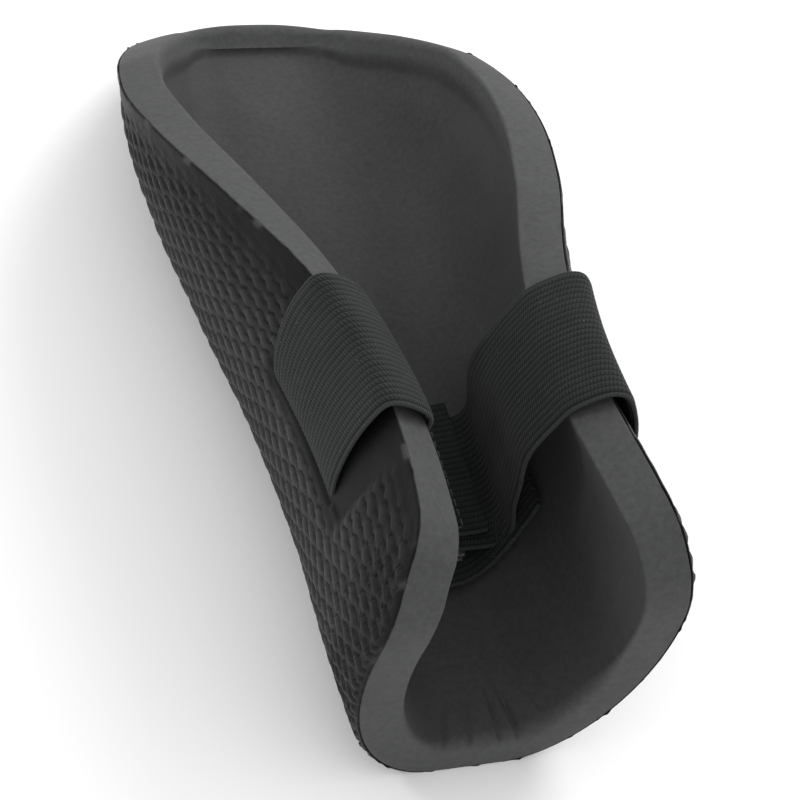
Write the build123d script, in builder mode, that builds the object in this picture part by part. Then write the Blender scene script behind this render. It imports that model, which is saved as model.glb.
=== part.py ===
"""Foam knee pad with a woven elastic strap. Millimetres, +Z out of the trough, +Y towards the thigh end.

The pad lies on its flat sole with the trough open upwards. The origin is on the sole, on the centre line,
80 mm in from the narrow shin end.
"""
import math
import os
from collections import namedtuple

from build123d import *

# ---------------------------------------------------------------- driving dimensions
TREAD = 2.5                 # outer rubber skin
SHELL = 11.5                # skin and foam together
SOLE_CUT = 0.5              # depth taken off the underside to leave a true flat
RIM_HANDLE = 0.55           # roundness of the cross-section, at the rim and at the floor
FLOOR_HANDLE = 0.72
FAR = 300.0                 # longer than anything here: the reach of the trimming tools

SHIN_END = -80.0
SHIN_CORNER = 20.0          # corner radius of the side walls at the shin end
SHIN_RIM = 85.5

LIP_RISE = 34.0             # how far the thigh end turns up, degrees
END_HALF_WIDTH = 55.0
END_ROUND = 28.0
END_CENTRE = 108.0          # centre of the rounded thigh end, along the turned-up floor

STRAP_WIDTH = 40.0
STRAP_THICK = 1.6
STRAP_CENTRE = -14.0        # middle of the strap along Y
STRAP_GAP = 0.5             # air between the strap and the foam
FLOOR_GAP = 2.0             # the flat strap ends rest on the curve of the floor by their edges
CHANNEL_SIDE = 0.6
SLIT_LOW = 0.74             # where the strap leaves the channel, as a fraction of the wall
SLIT_HIGH = 0.80
SLIT_X = 37.2               # middle of the slit in the skin
SLIT_Z = 54.6
SLIT_TILT = -7.8
SLIT_OPENING = 13.0
SLIT_REACH = 14.0           # width of the tool that opens the slit in the skin
CHANNEL_TOP = 57.0          # height at which the channel in the foam opens to the slits
CHANNEL_BITE = 0.2

END_LENGTH = 23.0           # fastened strap ends on the trough floor, across the trough
JOIN_GAP = 0.6              # gap between a strap leg and the flat end that it runs into
TAPE_THICK = 1.2
TAPE_MARGIN = 2.5
TAPE_GAP = 0.8
HEM_SHIFT = 3.0
THREAD = 0.4
STITCH_LENGTH = 2.6
STITCH_PITCH = 3.6
STITCH_INSET = 2.2
TAIL_END = 0.56
FACE_GAP = 0.01             # clear of the core, where the strap leaves the slit

# Strap over the cut edge: distance inward across the edge, and height above it.
CREST = [(-0.7, 1.6), (2.4, 2.7), (SHELL / 2, 3.1), (SHELL - 2.4, 2.7), (SHELL + 0.9, 1.2)]
LEG_TOP = (SHELL + 1.5, -0.2)
LEFT_LEG_TOP = (SHELL + 1.7, -0.2)
# Right leg: steps in from the rim, then places across the trough, at fractions of its drop.
LEG_NEAR_RIM = [(-3.2, 0.88), (-5.0, 0.74)]
LEG_BELOW = [(12.2, 0.5), (14.2, 0.3), (16.4, 0.17), (17.0, 0.1), (16.2, 0.04)]
LEG_FOOT = (14.4, 0.9)      # where the leg turns onto the floor, and how far above its level layer
FLOOR_LIFT = 0.5            # rise of the left strap where it leaves its level layer
CORE_STEPS = [0.0, 0.2, 0.4, 0.55, 0.7]
SIDE_STEPS = [0.86, 0.92, 0.98]
LEFT_LEG_STEPS = [0.93, 0.8, 0.65, 0.5, 0.38, 0.3]
TAIL_STEPS = [0.3, 0.38, 0.46, TAIL_END]

# One cross-section of the pad: place along Y, underside height, half-width of the flat underside,
# half-width and height of the rim, and how far the wall leans in at the rim (degrees).
Station = namedtuple("Station", "y base flat rim_x rim_z lean")
STATIONS = [
    Station(SHIN_END, 0, 8, 32.0, 84.0, 18),
    Station(-58, 0, 9, 28.5, 85.5, 28),
    Station(-33, 0, 9, 26.5, 83.5, 33),
    Station(-10, 0, 10, 28.0, 80.0, 33),
    Station(12, 0, 11, 32.5, 76.5, 28),
    Station(45, 0, 15, 44.0, 68.5, 12),
    Station(80, 0, 18, 53.0, 55.5, -3),
    Station(100, 0, 18, 54.8, 47.0, -12),
    Station(120, 0, 14, 52.0, 39.5, -24),
    Station(138, 0.3, 11, 48.5, 36.0, -32),
    Station(156, 2.5, 9, 46.0, 37.0, -37),
    Station(175, 14, 8, 45.0, 44.0, -38),
]
STRAP_STATIONS = STATIONS[1:5]
WALL_STEPS = [0.0, 0.12, 0.24, 0.38, 0.52, 0.68, 0.84, 1.0]


# ---------------------------------------------------------------- cross-section of the pad
def wall_point(station, step, depth):
    """Point on the right wall: step runs from the flat underside to the rim, depth goes into the foam."""
    lean = math.radians(station.lean)
    reach = RIM_HANDLE * (station.rim_z - station.base)
    bottom = station.base - SOLE_CUT
    x2 = station.rim_x + reach * math.sin(lean)
    z2 = station.rim_z - reach * math.cos(lean)
    x1 = station.flat + FLOOR_HANDLE * ((station.rim_x + x2) / 2 - station.flat)
    poles = [(station.flat, bottom), (x1, bottom), (x2, z2), (station.rim_x, station.rim_z)]
    rest = 1 - step
    weights = [rest ** 3, 3 * rest ** 2 * step, 3 * rest * step ** 2, step ** 3]
    slopes = [-3 * rest ** 2, 3 * rest ** 2 - 6 * rest * step, 6 * rest * step - 3 * step ** 2, 3 * step ** 2]
    x = sum(w * p[0] for w, p in zip(weights, poles))
    z = sum(w * p[1] for w, p in zip(weights, poles))
    dx = sum(w * p[0] for w, p in zip(slopes, poles))
    dz = sum(w * p[1] for w, p in zip(slopes, poles))
    size = math.hypot(dx, dz)
    return x - depth * dz / size, z + depth * dx / size


def rim_point(station, inward, above):
    """Point near the right rim: inward across the cut edge, above it along the wall."""
    lean = math.radians(station.lean)
    x = station.rim_x - inward * math.cos(lean) - above * math.sin(lean)
    z = station.rim_z - inward * math.sin(lean) + above * math.cos(lean)
    return x, z


def mirrored(points):
    return [(-x, z) for x, z in points]


def wall_curve(station, depth):
    return [wall_point(station, step, depth) for step in WALL_STEPS]


def trough_section(station, outer, inner):
    """Closed U between two depths, in the plane of the station."""
    outside = wall_curve(station, outer)
    inside = wall_curve(station, inner)
    with BuildSketch(Plane.XZ.offset(-station.y)) as section:
        with BuildLine():
            Line((-outside[0][0], outside[0][1]), outside[0])
            Spline(*outside)
            Line(outside[-1], inside[-1])
            Spline(*inside[::-1])
            Line(inside[0], (-inside[0][0], inside[0][1]))
            Spline(*mirrored(inside))
            Line((-inside[-1][0], inside[-1][1]), (-outside[-1][0], outside[-1][1]))
            Spline(*mirrored(outside)[::-1])
        make_face()
    return section.sketch


def strip_section(station, path, thick):
    """Closed thin strip that follows a path, in the plane of the station."""
    left = []
    right = []
    last = len(path) - 1
    for index, (x, z) in enumerate(path):
        x0, z0 = path[max(index - 1, 0)]
        x1, z1 = path[min(index + 1, last)]
        size = math.hypot(x1 - x0, z1 - z0)
        nx = -(z1 - z0) / size * thick / 2
        nz = (x1 - x0) / size * thick / 2
        left.append((x + nx, z + nz))
        right.append((x - nx, z - nz))
    with BuildSketch(Plane.XZ.offset(-station.y)) as section:
        with BuildLine():
            Spline(*left)
            Line(left[-1], right[-1])
            Spline(*right[::-1])
            Line(right[0], left[0])
        make_face()
    return section.sketch


def trim_ends():
    """Cut the flat sole, the rounded thigh end and the rounded corners of the shin end."""
    rise = math.radians(LIP_RISE)
    across = Plane(origin=(0, 0, 0), x_dir=(1, 0, 0), z_dir=(0, -math.sin(rise), math.cos(rise)))
    with BuildSketch(across) as beyond:
        with Locations((0, END_CENTRE + FAR / 2)):
            Rectangle(FAR, FAR)
        with Locations((0, END_CENTRE)):
            Ellipse(END_HALF_WIDTH, END_ROUND, mode=Mode.SUBTRACT)
    extrude(beyond.sketch, amount=FAR / 2, both=True, mode=Mode.SUBTRACT)
    with Locations((0, 0, -FAR / 2)):
        Box(FAR, 2 * FAR, FAR, mode=Mode.SUBTRACT)
    with BuildSketch(Plane.YZ) as corner:
        with Locations((SHIN_END, SHIN_RIM)):
            Rectangle(2 * SHIN_CORNER, 2 * SHIN_CORNER)
        with Locations((SHIN_END + SHIN_CORNER, SHIN_RIM - SHIN_CORNER)):
            Circle(SHIN_CORNER, mode=Mode.SUBTRACT)
    extrude(corner.sketch, amount=FAR / 2, both=True, mode=Mode.SUBTRACT)


def keep_strap_width(width):
    with Locations((0, STRAP_CENTRE, 0)):
        Box(FAR, width, FAR, mode=Mode.INTERSECT)


# ---------------------------------------------------------------- strap path
CORE_DEPTH = TREAD + STRAP_GAP + STRAP_THICK / 2
OUTSIDE = -STRAP_GAP - STRAP_THICK / 2
CHANNEL_FLOOR = TREAD + 2 * STRAP_GAP + STRAP_THICK
INSIDE = SHELL + 1.5 * STRAP_GAP + STRAP_THICK / 2
SLIT_MIDDLE = (SLIT_LOW + SLIT_HIGH) / 2
FLOOR_LAYER = SHELL - SOLE_CUT + FLOOR_GAP
END_X = END_LENGTH / 2
UPPER_LAYER = FLOOR_LAYER + STRAP_THICK + 2 * TAPE_THICK + TAPE_GAP


def core_path(station):
    """Strap inside the pad, from the left slit round under the trough to the right slit."""
    right = [wall_point(station, step, CORE_DEPTH) for step in CORE_STEPS]
    right.append(wall_point(station, SLIT_MIDDLE, (CORE_DEPTH + OUTSIDE) / 2))
    right.append(wall_point(station, SLIT_HIGH, OUTSIDE))
    middle = (0, CORE_DEPTH - SOLE_CUT)
    return mirrored(right)[::-1] + [middle] + right


def side_path(station):
    """Strap up the outside of the right wall and over the rim."""
    wall = [wall_point(station, step, OUTSIDE) for step in [SLIT_HIGH + FACE_GAP] + SIDE_STEPS]
    return wall + [rim_point(station, inward, above) for inward, above in CREST]


def right_leg_path(station):
    """Right leg of the strap: hangs from the rim and folds left onto the floor."""
    start = rim_point(station, *LEG_TOP)
    level = UPPER_LAYER + STRAP_THICK / 2
    drop = start[1] - level
    upper = [(start[0] + dx, level + drop * part) for dx, part in LEG_NEAR_RIM]
    lower = [(x, level + drop * part) for x, part in LEG_BELOW]
    foot = (LEG_FOOT[0], level + LEG_FOOT[1] / 2)
    return [start] + upper + lower + [foot, (END_X + JOIN_GAP, level)]


def floor_turn():
    """Where the left strap leaves its level layer on the floor, on either side."""
    return END_X + JOIN_GAP + FLOOR_LIFT, FLOOR_LAYER + STRAP_THICK / 2 + FLOOR_LIFT


def left_leg_path(station):
    """Left leg of the strap: follows the inside of the left wall down to the floor."""
    wall = [wall_point(station, step, INSIDE) for step in LEFT_LEG_STEPS]
    return mirrored([rim_point(station, *LEFT_LEG_TOP)] + wall + [floor_turn()])


def tail_path(station):
    """Free tail of the left strap: from under the fold and up the inside of the right wall."""
    return [floor_turn()] + [wall_point(station, step, INSIDE) for step in TAIL_STEPS]


def stitch_row(start, end, height):
    """Run of separate short stitches between two points, lying on a surface."""
    span = math.hypot(end[0] - start[0], end[1] - start[1])
    count = int(span // STITCH_PITCH)
    heading = math.degrees(math.atan2(end[1] - start[1], end[0] - start[0]))
    for index in range(count):
        part = (index + 0.5) / count
        x = start[0] + (end[0] - start[0]) * part
        y = start[1] + (end[1] - start[1]) * part
        with Locations(Location((x, y, height + THREAD / 2), (0, 0, heading))):
            Box(STITCH_LENGTH, THREAD, THREAD)


# ---------------------------------------------------------------- pad
with BuildPart() as outer_tread:
    for station in STATIONS:
        add(trough_section(station, 0, TREAD))
    loft()
    trim_ends()

with BuildPart() as inner_foam:
    for station in STATIONS:
        add(trough_section(station, TREAD, SHELL))
    loft()
    trim_ends()

# ---------------------------------------------------------------- channel and slits
with BuildPart() as channel:
    for station in STRAP_STATIONS:
        add(trough_section(station, TREAD - CHANNEL_BITE, CHANNEL_FLOOR))
    loft()
    keep_strap_width(STRAP_WIDTH + 2 * CHANNEL_SIDE)
    with Locations((0, STRAP_CENTRE, CHANNEL_TOP + FAR / 2)):
        Box(FAR, FAR, FAR, mode=Mode.SUBTRACT)

with BuildPart() as right_slit:
    with Locations(Location((SLIT_X, STRAP_CENTRE, SLIT_Z), (SLIT_TILT, 0, 0))):
        Box(SLIT_REACH, STRAP_WIDTH + 2 * CHANNEL_SIDE, SLIT_OPENING)

with BuildPart() as left_slit:
    add(mirror(right_slit.part, about=Plane.YZ, mode=Mode.PRIVATE))

with BuildPart() as outer_tread_cut:
    add(outer_tread.part)
    add(right_slit.part, mode=Mode.SUBTRACT)
    add(left_slit.part, mode=Mode.SUBTRACT)

with BuildPart() as inner_foam_cut:
    add(inner_foam.part)
    add(channel.part, mode=Mode.SUBTRACT)

# ---------------------------------------------------------------- strap
with BuildPart() as strap_core:
    for station in STRAP_STATIONS:
        add(strip_section(station, core_path(station), STRAP_THICK))
    loft()
    keep_strap_width(STRAP_WIDTH)

with BuildPart() as strap_right_side:
    for station in STRAP_STATIONS:
        add(strip_section(station, side_path(station), STRAP_THICK))
    loft()
    keep_strap_width(STRAP_WIDTH)

with BuildPart() as strap_left_side:
    add(mirror(strap_right_side.part, about=Plane.YZ, mode=Mode.PRIVATE))

with BuildPart() as strap_right_leg:
    for station in STRAP_STATIONS:
        add(strip_section(station, right_leg_path(station), STRAP_THICK))
    loft()
    keep_strap_width(STRAP_WIDTH)

with BuildPart() as strap_left_leg:
    for station in STRAP_STATIONS:
        add(strip_section(station, left_leg_path(station), STRAP_THICK))
    loft()
    keep_strap_width(STRAP_WIDTH)

with BuildPart() as strap_left_tail:
    for station in STRAP_STATIONS:
        add(strip_section(station, tail_path(station), STRAP_THICK))
    loft()
    keep_strap_width(STRAP_WIDTH)

# ---------------------------------------------------------------- fastened strap ends
LOOP_LAYER = FLOOR_LAYER + STRAP_THICK
HOOK_LAYER = LOOP_LAYER + TAPE_THICK + TAPE_GAP
TAPE_X = END_X - TAPE_MARGIN
TAPE_Y = STRAP_WIDTH / 2 - TAPE_MARGIN
HEM_TOP = UPPER_LAYER + 2 * STRAP_THICK


def flat_layer(half_x, half_y, bottom, thick, shift=0.0):
    with Locations((0, STRAP_CENTRE + shift, bottom + thick / 2)):
        Box(2 * half_x, 2 * half_y, thick)


def stitch_frame(half_x, half_y, height, shift=0.0):
    """Rectangle of stitches just inside the edge of a layer."""
    x = half_x - STITCH_INSET
    y = half_y - STITCH_INSET
    middle = STRAP_CENTRE + shift
    for side in (-1, 1):
        stitch_row((-x, middle + side * y), (x, middle + side * y), height)
        stitch_row((side * x, middle - y), (side * x, middle + y), height)


with BuildPart() as strap_left_end:
    flat_layer(END_X, STRAP_WIDTH / 2, FLOOR_LAYER, STRAP_THICK)

with BuildPart() as loop_tape:
    flat_layer(TAPE_X, TAPE_Y, LOOP_LAYER, TAPE_THICK)

with BuildPart() as loop_stitching:
    stitch_frame(TAPE_X, TAPE_Y, LOOP_LAYER + TAPE_THICK)

with BuildPart() as hook_tape:
    flat_layer(TAPE_X, TAPE_Y, HOOK_LAYER, TAPE_THICK)

with BuildPart() as strap_right_end:
    flat_layer(END_X, STRAP_WIDTH / 2, UPPER_LAYER, STRAP_THICK)

with BuildPart() as strap_right_hem:
    flat_layer(END_X, STRAP_WIDTH / 2, UPPER_LAYER + STRAP_THICK, STRAP_THICK, HEM_SHIFT)

with BuildPart() as hook_stitching:
    stitch_frame(END_X, STRAP_WIDTH / 2, HEM_TOP, HEM_SHIFT)

# ---------------------------------------------------------------- files
PARTS = {
    "inner_foam": inner_foam_cut,
    "outer_tread": outer_tread_cut,
    "strap_core": strap_core,
    "strap_right_side": strap_right_side,
    "strap_left_side": strap_left_side,
    "strap_right_leg": strap_right_leg,
    "strap_left_leg": strap_left_leg,
    "strap_left_tail": strap_left_tail,
    "strap_left_end": strap_left_end,
    "loop_tape": loop_tape,
    "loop_stitching": loop_stitching,
    "hook_tape": hook_tape,
    "strap_right_end": strap_right_end,
    "strap_right_hem": strap_right_hem,
    "hook_stitching": hook_stitching,
}
os.makedirs("parts", exist_ok=True)
for label, builder in PARTS.items():
    builder.part.label = label
    export_step(builder.part, f"parts/{label}.step")
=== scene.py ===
"""Foam knee pad with a ribbed elastic strap: the visual model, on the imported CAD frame.

Lengths in the tables are millimetres and become metres when a mesh is made. X runs across the pad,
Y towards the wide thigh end, Z out of the trough. Every random draw is seeded.
"""
import math

import bpy
import numpy as np
from mathutils import Matrix, Vector


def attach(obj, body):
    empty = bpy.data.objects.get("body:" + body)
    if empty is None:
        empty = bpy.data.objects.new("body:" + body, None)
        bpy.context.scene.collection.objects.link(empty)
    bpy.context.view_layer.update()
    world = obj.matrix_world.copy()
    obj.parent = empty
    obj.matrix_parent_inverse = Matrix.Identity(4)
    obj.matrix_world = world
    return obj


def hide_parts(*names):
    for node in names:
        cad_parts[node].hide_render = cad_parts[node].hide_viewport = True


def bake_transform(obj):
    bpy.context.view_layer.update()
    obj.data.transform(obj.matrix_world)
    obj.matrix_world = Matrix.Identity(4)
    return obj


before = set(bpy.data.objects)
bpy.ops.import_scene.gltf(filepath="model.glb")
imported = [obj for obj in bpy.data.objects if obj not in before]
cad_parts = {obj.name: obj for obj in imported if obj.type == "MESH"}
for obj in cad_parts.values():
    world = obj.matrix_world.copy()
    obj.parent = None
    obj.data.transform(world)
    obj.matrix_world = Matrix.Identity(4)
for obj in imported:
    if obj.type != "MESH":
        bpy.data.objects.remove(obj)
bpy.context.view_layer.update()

MM = 0.001

# ---------------------------------------------------------------- dimensions, as in the CAD part
SHELL = 11.5
SOLE_CUT = 0.5
RIM_HANDLE = 0.55
FLOOR_HANDLE = 0.72
STRAP_LOW_EDGE = -34.0
STRAP_WIDTH = 40.0
STRAP_MIDDLE = STRAP_LOW_EDGE + STRAP_WIDTH / 2
INSIDE = SHELL + 1.55
CORE_DEPTH = 4.6            # depth of the strap's run inside the foam
FLOOR_LEVEL = 13.8
UPPER_LEVEL = 18.6
HEM_LEVEL = 20.2
HINGE_X = 11.5              # the hook end peels about this line
SLIT_STEP = 0.782           # place of the slit up the wall
SLIT_SHIFT = -4.0           # the strap leans towards the shin end where it enters the slit

# place along Y, half-width of the flat underside, half-width and height of the rim, lean at the rim
STATIONS = np.array([
    (-92, 8, 32.2, 83.5, 16),
    (-80, 8, 32.0, 84.0, 18),
    (-58, 9, 28.5, 85.5, 28),
    (-33, 9, 26.5, 83.5, 33),
    (-10, 10, 28.0, 80.0, 33),
    (12, 11, 32.5, 76.5, 28),
    (45, 15, 44.0, 68.5, 12),
    (80, 18, 53.0, 55.5, -3),
    (100, 18, 54.8, 47.0, -12),
    (120, 14, 52.0, 39.5, -24),
    (138, 11, 48.5, 36.0, -32),
    (156, 9, 46.0, 37.0, -37),
    (175, 8, 45.0, 44.0, -38),
], float)
FLAT_SHARE = 0.12
LIP_START = 154.0
LIP_SLOPE = 0.675
LIP_BEND = 1.75


# ---------------------------------------------------------------- the pad's outer surface
def ease(value, low, high):
    """0 at low, 1 at high, smooth between."""
    t = np.clip((value - low) / (high - low), 0.0, 1.0)
    return t * t * (3 - 2 * t)


def station_value(y, column):
    """A column of the station table as a smooth curve along Y."""
    places = STATIONS[:, 0]
    values = STATIONS[:, column]
    slopes = np.gradient(values, places)
    i = np.clip(np.searchsorted(places, y) - 1, 0, len(places) - 2)
    step = places[i + 1] - places[i]
    t = (y - places[i]) / step
    t2, t3 = t * t, t * t * t
    return ((2 * t3 - 3 * t2 + 1) * values[i] + (t3 - 2 * t2 + t) * step * slopes[i]
            + (-2 * t3 + 3 * t2) * values[i + 1] + (t3 - t2) * step * slopes[i + 1])


def underside(y):
    """Height of the underside: level, then turned up at the thigh end."""
    return LIP_SLOPE * LIP_BEND * np.logaddexp(0.0, (y - LIP_START) / LIP_BEND)


def wall(y, step):
    """Point and slope of the right wall's outer face at y; step is 0 at the sole, 1 at the rim."""
    flat, rim_x, rim_z = (station_value(y, c) for c in (1, 2, 3))
    lean = np.radians(station_value(y, 4))
    base = underside(y)
    reach = RIM_HANDLE * (rim_z - base)
    bottom = base - SOLE_CUT
    x2 = rim_x + reach * np.sin(lean)
    z2 = rim_z - reach * np.cos(lean)
    x1 = flat + FLOOR_HANDLE * ((rim_x + x2) / 2 - flat)
    rest = 1 - step
    w = (rest ** 3, 3 * rest ** 2 * step, 3 * rest * step ** 2, step ** 3)
    d = (-3 * rest ** 2, 3 * rest ** 2 - 6 * rest * step, 6 * rest * step - 3 * step ** 2, 3 * step ** 2)
    x = w[0] * flat + w[1] * x1 + w[2] * x2 + w[3] * rim_x
    z = w[0] * bottom + w[1] * bottom + w[2] * z2 + w[3] * rim_z
    dx = d[0] * flat + d[1] * x1 + d[2] * x2 + d[3] * rim_x
    dz = d[0] * bottom + d[1] * bottom + d[2] * z2 + d[3] * rim_z
    return x, z, dx, dz


def wall_at(y, step, depth):
    """Point beside the right wall, depth into the foam."""
    x, z, dx, dz = wall(y, step)
    size = np.hypot(dx, dz)
    return np.stack([x - depth * dz / size, z + depth * dx / size], -1)


def rim_at(y, inward, above):
    """Point near the right rim: inward across the cut edge, above it along the wall."""
    lean = np.radians(station_value(y, 4))
    x = station_value(y, 2) - inward * np.cos(lean) - above * np.sin(lean)
    z = station_value(y, 3) - inward * np.sin(lean) + above * np.cos(lean)
    return np.stack([x, z], -1)


def skin(u, y):
    """Outer surface of the pad: u is -1 at the left rim, 0 on the centre line, 1 at the right rim."""
    share = np.abs(u)
    x, z, _, _ = wall(y, np.clip((share - FLAT_SHARE) / (1 - FLAT_SHARE), 0.0, 1.4))
    flat = station_value(y, 1)
    on_flat = share < FLAT_SHARE
    x = np.where(on_flat, flat * share / FLAT_SHARE, x)
    z = np.where(on_flat, underside(y) - SOLE_CUT, z)
    return np.stack([np.sign(u) * x, y + 0 * x, z], -1)


def unit(v):
    return v / np.maximum(np.linalg.norm(v, axis=-1, keepdims=True), 1e-9)


def skin_normal(u, y):
    """Unit normal of the outer surface, pointing into the foam."""
    du, dy = 0.004, 0.4
    across = skin(u + du, y) - skin(u - du, y)
    along = skin(u, y + dy) - skin(u, y - dy)
    return unit(np.cross(across, along))


# ---------------------------------------------------------------- the cut edge all round the pad
END_TURN = math.radians(34)     # slope of the plane in which the thigh end is an oval
END_START = 98.0                # where the oval begins, along that plane
END_REACH = 40.3
END_HALF_WIDTH = 57.5
END_POWER = 2.35
CORNER_START = -60.0            # where the rounded shin corners begin
CORNER_RADIUS = 20.0
HALF_SECTION = 122.0            # length of the section from the centre line to the rim
JOIN_POWER = 20                 # how tightly the sides and the thigh end meet
RAY_CENTRE = 32.5               # the rays leave the centre line within this swing of its middle
RAY_SWING = 77.5
RAY_REACH = 60.0
RADIUS_LOW, RADIUS_HIGH = 0.2, 1.3
HALVINGS = 40
FINE_ANGLES = 1500


def edge_measure(u, y):
    """1 on the cut edge of the pad and less inside it: rounded shin corners, sides and oval thigh end."""
    p = skin(u, y)
    ahead = p[..., 1] * math.cos(END_TURN) + p[..., 2] * math.sin(END_TURN)
    width = np.abs(p[..., 0]) / END_HALF_WIDTH
    length = np.maximum(ahead - END_START, 0) / END_REACH
    thigh = (width ** END_POWER + length ** END_POWER) ** (1 / END_POWER)
    corner = np.maximum(CORNER_START - y, 0) / CORNER_RADIUS
    side = np.maximum(1 - (1 - np.abs(u)) * HALF_SECTION / CORNER_RADIUS, 0)
    return (np.hypot(corner, side) ** JOIN_POWER + thigh ** JOIN_POWER) ** (1 / JOIN_POWER)


def on_ray(angle, r):
    """(u, y) at a share r along the ray that leaves the centre line at this angle."""
    return r * np.sin(angle), RAY_CENTRE - RAY_SWING * np.cos(angle) - RAY_REACH * r * np.cos(angle)


def edge_radius(angle):
    """Share at which each ray crosses the cut edge, by halving."""
    low = np.full_like(angle, RADIUS_LOW)
    high = np.full_like(angle, RADIUS_HIGH)
    for _ in range(HALVINGS):
        middle = (low + high) / 2
        outside = edge_measure(*on_ray(angle, middle)) > 1
        high = np.where(outside, middle, high)
        low = np.where(outside, low, middle)
    return low


def even_angles(half):
    """Angles of the rays for 2 * half columns that are evenly spaced along the cut edge."""
    fine = np.linspace(0, math.pi, FINE_ANGLES)
    edge = skin(*on_ray(fine, edge_radius(fine)))
    run = np.concatenate([[0], np.cumsum(np.linalg.norm(np.diff(edge, axis=0), axis=1))])
    right = np.interp(np.linspace(0, run[-1], half + 1), run, fine)
    return np.concatenate([right, 2 * math.pi - right[-2:0:-1]])


class Edge:
    """The cut edge, column by column, with its own directions: out of the pad and into the foam."""

    def __init__(self, half):
        self.angle = even_angles(half)
        self.radius = edge_radius(np.where(self.angle > math.pi, 2 * math.pi - self.angle, self.angle))
        self.point = skin(*on_ray(self.angle, self.radius))
        self.inward = skin_normal(*on_ray(self.angle, self.radius))
        along = unit(np.roll(self.point, -1, 0) - np.roll(self.point, 1, 0))
        near = skin(*on_ray(self.angle, self.radius * 0.99))
        out = (self.point - near) / 0.01
        out = out - (out * along).sum(-1, keepdims=True) * along
        out = out - (out * self.inward).sum(-1, keepdims=True) * self.inward
        self.per_share = np.linalg.norm(out, axis=-1)
        self.out = unit(out)
        run = np.linalg.norm(np.roll(self.point, -1, 0) - self.point, axis=1)
        self.run = np.concatenate([[0], np.cumsum(run)[:-1]])
        self.length = run.sum()

    def at(self, share):
        """(u, y) of a ring; share is a number or one value per column, 1 on the cut edge."""
        return on_ray(self.angle, self.radius * share)

    def from_edge(self, distance):
        """Share of the ring that lies a distance in from the cut edge."""
        return 1 - distance / self.per_share

    def waves(self, turns, seed):
        """Smooth random curve round the edge, about -1 to 1."""
        draw = np.random.default_rng(seed)
        total = np.zeros(len(self.run))
        for turn in turns:
            wave = np.sin(2 * math.pi * turn * self.run / self.length + draw.uniform(0, 6.28))
            total += wave * draw.uniform(0.5, 1)
        return total / math.sqrt(len(turns))


# ---------------------------------------------------------------- mesh helpers
def make_object(name, points, faces):
    mesh = bpy.data.meshes.new(name)
    mesh.from_pydata((points * MM).tolist(), [], faces)
    mesh.validate()
    mesh.shade_smooth()
    made = bpy.data.objects.new(name, mesh)
    bpy.context.scene.collection.objects.link(made)
    return made


def give_values(obj, name, values):
    attribute = obj.data.attributes.new(name, "FLOAT", "POINT")
    attribute.data.foreach_set("value", np.asarray(values, np.float32))


def ring_faces(rows, columns):
    """Quads between closed rings; the first and last are folded onto themselves along the centre line."""
    index = np.arange(rows * columns).reshape(rows, columns)
    fold = np.minimum(np.arange(columns), (columns - np.arange(columns)) % columns)
    index[0] = index[0][fold]
    index[-1] = index[-1][fold]
    a, b = index[:-1], index[1:]
    quads = np.stack([a, b, np.roll(b, -1, 1), np.roll(a, -1, 1)], -1).reshape(-1, 4)
    faces = []
    for quad in quads.tolist():
        corners = list(dict.fromkeys(quad))
        if len(corners) > 2:
            faces.append(corners)
    return faces


def ring_object(name, rows):
    return make_object(name, rows.reshape(-1, 3), ring_faces(rows.shape[0], rows.shape[1]))


NOISE_SIZE = 32


def value_noise(points, cell, seed):
    """Smooth random values over 3-D points, about -1 to 1."""
    draw = np.random.default_rng(seed)
    table = draw.uniform(-1, 1, (NOISE_SIZE, NOISE_SIZE, NOISE_SIZE))
    place = points / cell
    whole = np.floor(place).astype(int)
    t = place - whole
    t = t * t * (3 - 2 * t)
    total = 0
    for corner in np.ndindex(2, 2, 2):
        i = (whole + corner) % NOISE_SIZE
        weight = np.prod(np.where(np.array(corner) == 1, t, 1 - t), axis=-1)
        total = total + weight * table[i[..., 0], i[..., 1], i[..., 2]]
    return total


def swell(points, layers):
    """Unevenness from layers of noise, each with its size, seed and height."""
    return sum(value_noise(points, size, seed) * height for size, seed, height in layers)


# ---------------------------------------------------------------- foam
SEAM = 0.6                  # depth of the joint between the skin and the foam, at the cut edge
SEAM_ROUND = 0.35
SEAM_GAP = 0.25             # the foam's hidden face lies this far behind the skin's
FILLET = 0.9                # round between the inside and the cut edge, and how much larger it is in places
SHIN_FILLET = 2.0
SHIN_CORNER_FILLET = 0.8
THIGH_FILLET = 2.4
CROWN = 0.18                # bulge of the cut edge
NEAR_EDGE = 12.0            # the rings lie closer together within this distance of the edge
INNER_RINGS = 120
NEAR_RINGS = 14
ROUND_RINGS = 10
FACE_RINGS = 12
SEAM_RINGS = 5
HIDDEN_RINGS = 26
LIP_MIDDLE = 14.5           # width of the raised lip at the middle of the thigh end, and at its sides
LIP_SIDE = 7.0
LIP_HEIGHT = 0.9
LIP_COLOUR = 0.85           # share of the cut edge's colour on the lip
DISH = 0.9                  # extra depth of the inside beside the lip
CREASES = ((-2.0, 0.12, 0.9), (5.5, 0.05, 1.1), (10.5, -0.12, 0.8), (-9.0, 0.2, 0.5))   # x, tilt, depth
CREASE_WIDTH = 0.55
CREASE_BANK = 0.35          # height, distance and width of the raised bank beside a crease
CREASE_BANK_AT = 1.3
CREASE_BANK_WIDTH = 0.6
SHIN_END = -80.0
FOAM_SWELL = ((23.0, 3, 0.12), (9.0, 4, 0.07))      # size, seed and height of each layer
FACINGS = 40
FOAM_COLUMNS = 400          # columns round each half of the edge
SKIN_COLUMNS = 470
foam_edge = Edge(FOAM_COLUMNS)


def shin_end_weight(edge, low_x, high_x):
    """1 on the floor and right corner of the shin end, 0 elsewhere round the edge."""
    x, y, z = edge.point.T
    end = ease(-y, 62, 76)
    return end * ease(x, low_x, high_x) * ease(-z, -50, -22)


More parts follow.
